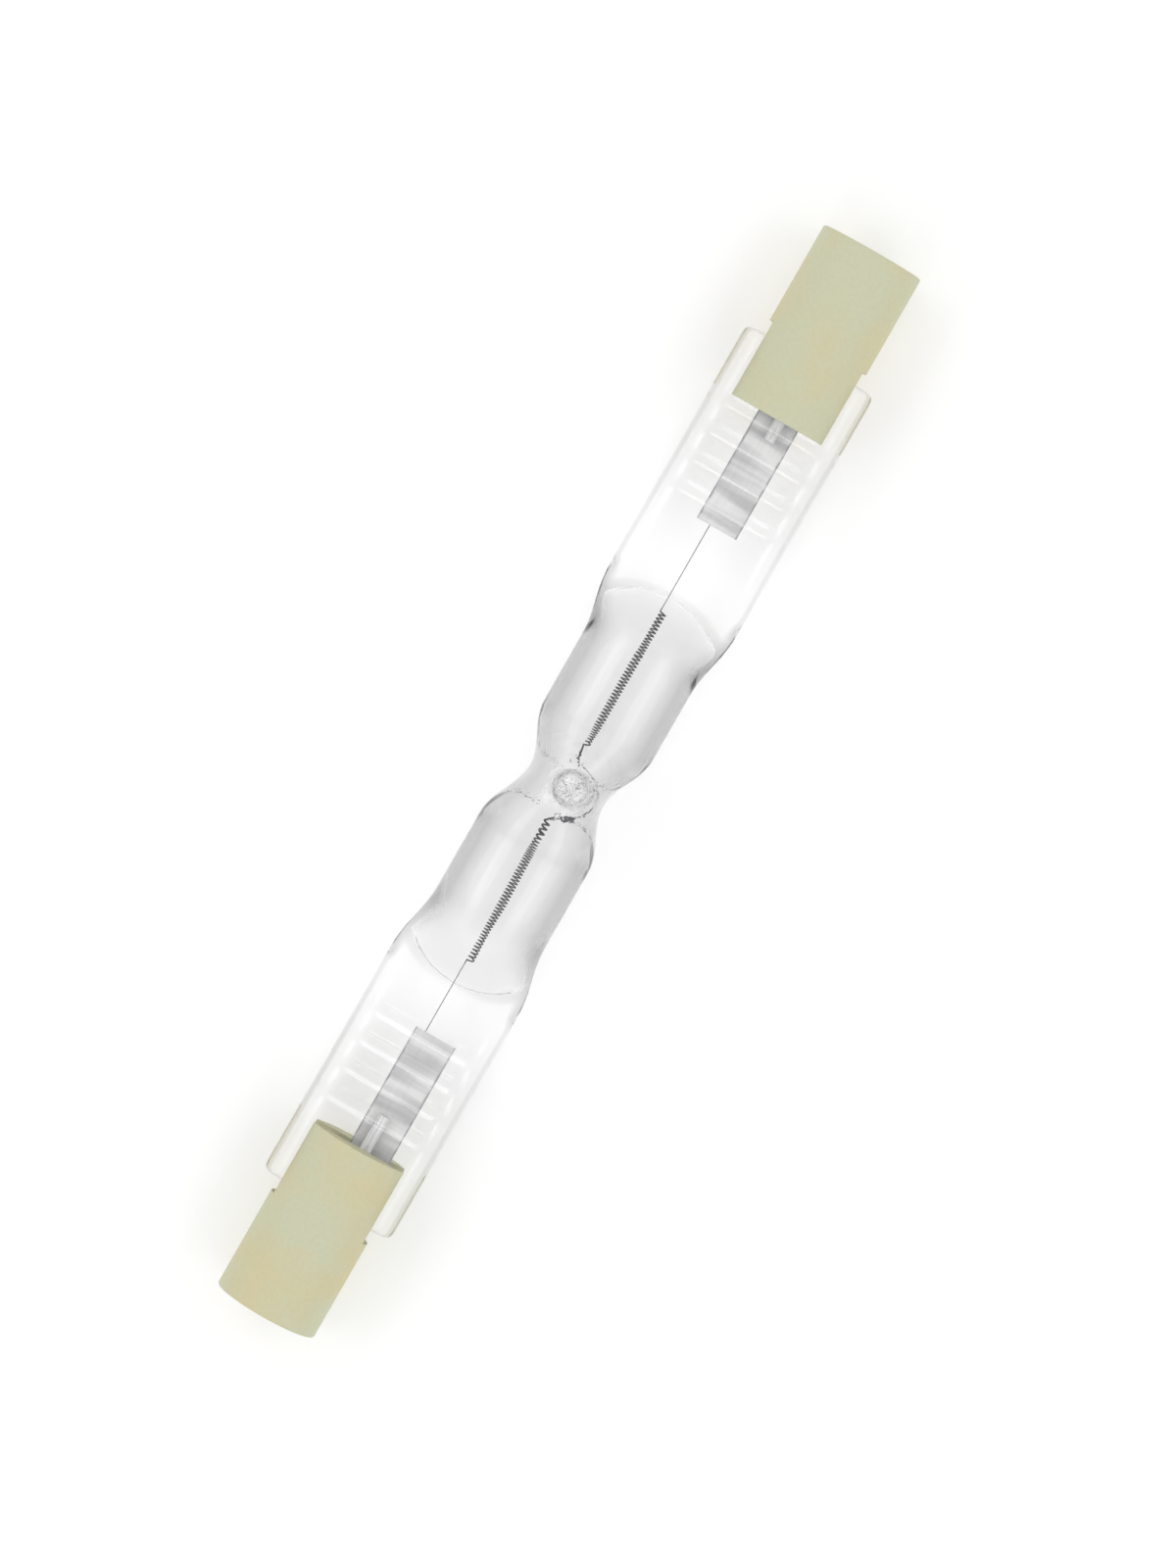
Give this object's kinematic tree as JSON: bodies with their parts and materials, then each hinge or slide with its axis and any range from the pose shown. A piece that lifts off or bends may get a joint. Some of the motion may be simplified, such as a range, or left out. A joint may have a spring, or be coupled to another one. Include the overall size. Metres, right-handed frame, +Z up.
{
  "type": "linear halogen bulb",
  "caption": "Double-ended linear halogen bulb: a waisted quartz tube with flat press seals, a coiled filament and slotted ceramic end caps with recessed contacts.",
  "frame": {"origin": "centre of the bulb, on the tube's axis and half way between the outer ends of the two caps", "axes": "+X along the bulb's axis towards the right cap, Y across the flat press seals, +Z up, the side of the sealed exhaust tip"},
  "size_m": [0.0782, 0.0094, 0.0087],
  "materials": {
    "quartz": "clear fused silica, fire polished",
    "steatite": "matt, pale beige-green",
    "molybdenum_foil": "dull rolled foil",
    "molybdenum_lead": "drawn pin",
    "tungsten": "dark drawn wire",
    "contact_metal": "nickel, satin",
    "cement": "matt, off-white"
  },
  "bodies": {
    "root": {"quartz_envelope": "quartz", "filament": "tungsten", "foil_left": "molybdenum_foil", "foil_right": "molybdenum_foil", "outer_lead_left": "molybdenum_lead", "outer_lead_right": "molybdenum_lead", "ceramic_cap_left": "steatite", "ceramic_cap_right": "steatite", "contact_left": "contact_metal", "contact_right": "contact_metal", "cement_left": "cement", "cement_right": "cement"}
  },
  "joints": []
}
